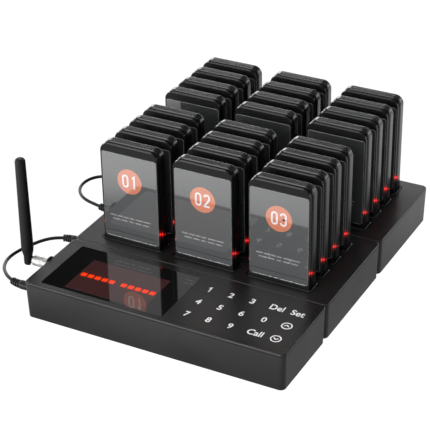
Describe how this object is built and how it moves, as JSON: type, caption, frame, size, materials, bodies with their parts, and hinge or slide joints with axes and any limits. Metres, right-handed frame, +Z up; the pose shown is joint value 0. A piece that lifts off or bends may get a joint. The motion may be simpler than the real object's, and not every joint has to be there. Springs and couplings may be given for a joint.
{
  "type": "guest pager system",
  "caption": "Low black host with display window, touch keypad and hinged antenna, linked by short leads to two charging docks full of upright slab pagers.",
  "frame": {"origin": "on the counter, at the bottom centre of the box round everything except the two link leads and their plugs", "axes": "+Z up, +X to the user's right, -Y to the front edge of the host"},
  "size_m": [0.3257, 0.3278, 0.1382],
  "materials": {
    "case_black": "satin black moulded ABS",
    "window_black": "polished smoked acrylic",
    "filter_red": "dark red sheet",
    "display_grey": "segment display modules with a grey face",
    "sheet_black": "matt printed sheet with white key marks",
    "board_green": "glass-epoxy board with solder mask",
    "spring_steel": "plated contact springs",
    "screw_steel": "zinc plated steel",
    "nut_silver": "nickel plated, knurled",
    "contact_gold": "gold flashed",
    "socket_black": "moulded socket body",
    "rubber_black": "matt",
    "cable_black": "satin PVC jacket",
    "hinge_black": "acetal, satin",
    "pager_black": "glossy black moulded ABS",
    "card_grey": "clear plate over a grey card with a salmon number badge",
    "light_ring": "translucent light guide",
    "battery_silver": "foil pouch",
    "motor_steel": "coin motor can"
  },
  "bodies": {
    "base": {"antenna_jack": "contact_gold", "antenna_nut": "nut_silver", "antenna_washer": "rubber_black", "charging_pins": "contact_gold", "dc_inlet": "socket_black", "display_modules": "display_grey", "display_window": "window_black", "dock_1_base": "case_black", "dock_1_board": "board_green", "dock_1_cover": "case_black", "dock_2_base": "case_black", "dock_2_board": "board_green", "dock_2_cover": "case_black", "host_base": "case_black", "host_cover": "case_black", "keypad_overlay": "sheet_black", "link_cable_1": "cable_black", "link_cable_1_plugs": "cable_black", "link_cable_2": "cable_black", "link_cable_2_plugs": "cable_black", "link_sockets": "socket_black", "main_board": "board_green", "panel_board": "board_green", "red_filter": "filter_red", "rubber_feet": "rubber_black", "screws": "screw_steel", "touch_springs": "spring_steel"},
    "antenna_elbow": {"antenna_elbow": "hinge_black"},
    "antenna_rod": {"antenna_rod": "rubber_black"},
    "pager_01": {"pager_01_battery": "battery_silver", "pager_01_board": "board_green", "pager_01_charge_pads": "contact_gold", "pager_01_face_plate": "card_grey", "pager_01_front_shell": "pager_black", "pager_01_light_ring": "light_ring", "pager_01_motor": "motor_steel", "pager_01_rear_shell": "pager_black"},
    "pager_02": {"pager_02": "pager_black"},
    "pager_03": {"pager_03": "pager_black"},
    "pager_04": {"pager_04": "pager_black"},
    "pager_05": {"pager_05": "pager_black"},
    "pager_06": {"pager_06": "pager_black"},
    "pager_07": {"pager_07": "pager_black"},
    "pager_08": {"pager_08": "pager_black"},
    "pager_09": {"pager_09": "pager_black"},
    "pager_10": {"pager_10": "pager_black"},
    "pager_11": {"pager_11": "pager_black"},
    "pager_12": {"pager_12": "pager_black"},
    "pager_13": {"pager_13": "pager_black"},
    "pager_14": {"pager_14": "pager_black"},
    "pager_15": {"pager_15": "pager_black"},
    "pager_16": {"pager_16": "pager_black"},
    "pager_17": {"pager_17": "pager_black"},
    "pager_18": {"pager_18": "pager_black"},
    "pager_19": {"pager_19": "pager_black"},
    "pager_20": {"pager_20": "pager_black"},
    "pager_21": {"pager_21": "pager_black"},
    "pager_22": {"pager_22": "pager_black"},
    "pager_23": {"pager_23": "pager_black"},
    "pager_24": {"pager_24": "pager_black"}
  },
  "joints": [
    {"name": "antenna_swivel", "type": "hinge", "parent": "base", "child": "antenna_elbow", "pos_m": [-0.133, -0.1194, 0.031], "axis": [1, 0, 0], "range_deg": [-75, 75]},
    {"name": "antenna_tilt", "type": "hinge", "parent": "antenna_elbow", "child": "antenna_rod", "pos_m": [-0.1395, -0.1194, 0.031], "axis": [0, -1, 0], "range_deg": [0, 90]},
    {"name": "pager_01_lift", "type": "slide", "parent": "base", "child": "pager_01", "axis": [0, 0, 1], "range_m": [0, 0.035]},
    {"name": "pager_02_lift", "type": "slide", "parent": "base", "child": "pager_02", "axis": [0, 0, 1], "range_m": [0, 0.035]},
    {"name": "pager_03_lift", "type": "slide", "parent": "base", "child": "pager_03", "axis": [0, 0, 1], "range_m": [0, 0.035]},
    {"name": "pager_04_lift", "type": "slide", "parent": "base", "child": "pager_04", "axis": [0, 0, 1], "range_m": [0, 0.035]},
    {"name": "pager_05_lift", "type": "slide", "parent": "base", "child": "pager_05", "axis": [0, 0, 1], "range_m": [0, 0.035]},
    {"name": "pager_06_lift", "type": "slide", "parent": "base", "child": "pager_06", "axis": [0, 0, 1], "range_m": [0, 0.035]},
    {"name": "pager_07_lift", "type": "slide", "parent": "base", "child": "pager_07", "axis": [0, 0, 1], "range_m": [0, 0.035]},
    {"name": "pager_08_lift", "type": "slide", "parent": "base", "child": "pager_08", "axis": [0, 0, 1], "range_m": [0, 0.035]},
    {"name": "pager_09_lift", "type": "slide", "parent": "base", "child": "pager_09", "axis": [0, 0, 1], "range_m": [0, 0.035]},
    {"name": "pager_10_lift", "type": "slide", "parent": "base", "child": "pager_10", "axis": [0, 0, 1], "range_m": [0, 0.035]},
    {"name": "pager_11_lift", "type": "slide", "parent": "base", "child": "pager_11", "axis": [0, 0, 1], "range_m": [0, 0.035]},
    {"name": "pager_12_lift", "type": "slide", "parent": "base", "child": "pager_12", "axis": [0, 0, 1], "range_m": [0, 0.035]},
    {"name": "pager_13_lift", "type": "slide", "parent": "base", "child": "pager_13", "axis": [0, 0, 1], "range_m": [0, 0.035]},
    {"name": "pager_14_lift", "type": "slide", "parent": "base", "child": "pager_14", "axis": [0, 0, 1], "range_m": [0, 0.035]},
    {"name": "pager_15_lift", "type": "slide", "parent": "base", "child": "pager_15", "axis": [0, 0, 1], "range_m": [0, 0.035]},
    {"name": "pager_16_lift", "type": "slide", "parent": "base", "child": "pager_16", "axis": [0, 0, 1], "range_m": [0, 0.035]},
    {"name": "pager_17_lift", "type": "slide", "parent": "base", "child": "pager_17", "axis": [0, 0, 1], "range_m": [0, 0.035]},
    {"name": "pager_18_lift", "type": "slide", "parent": "base", "child": "pager_18", "axis": [0, 0, 1], "range_m": [0, 0.035]},
    {"name": "pager_19_lift", "type": "slide", "parent": "base", "child": "pager_19", "axis": [0, 0, 1], "range_m": [0, 0.035]},
    {"name": "pager_20_lift", "type": "slide", "parent": "base", "child": "pager_20", "axis": [0, 0, 1], "range_m": [0, 0.035]},
    {"name": "pager_21_lift", "type": "slide", "parent": "base", "child": "pager_21", "axis": [0, 0, 1], "range_m": [0, 0.035]},
    {"name": "pager_22_lift", "type": "slide", "parent": "base", "child": "pager_22", "axis": [0, 0, 1], "range_m": [0, 0.035]},
    {"name": "pager_23_lift", "type": "slide", "parent": "base", "child": "pager_23", "axis": [0, 0, 1], "range_m": [0, 0.035]},
    {"name": "pager_24_lift", "type": "slide", "parent": "base", "child": "pager_24", "axis": [0, 0, 1], "range_m": [0, 0.035]}
  ]
}
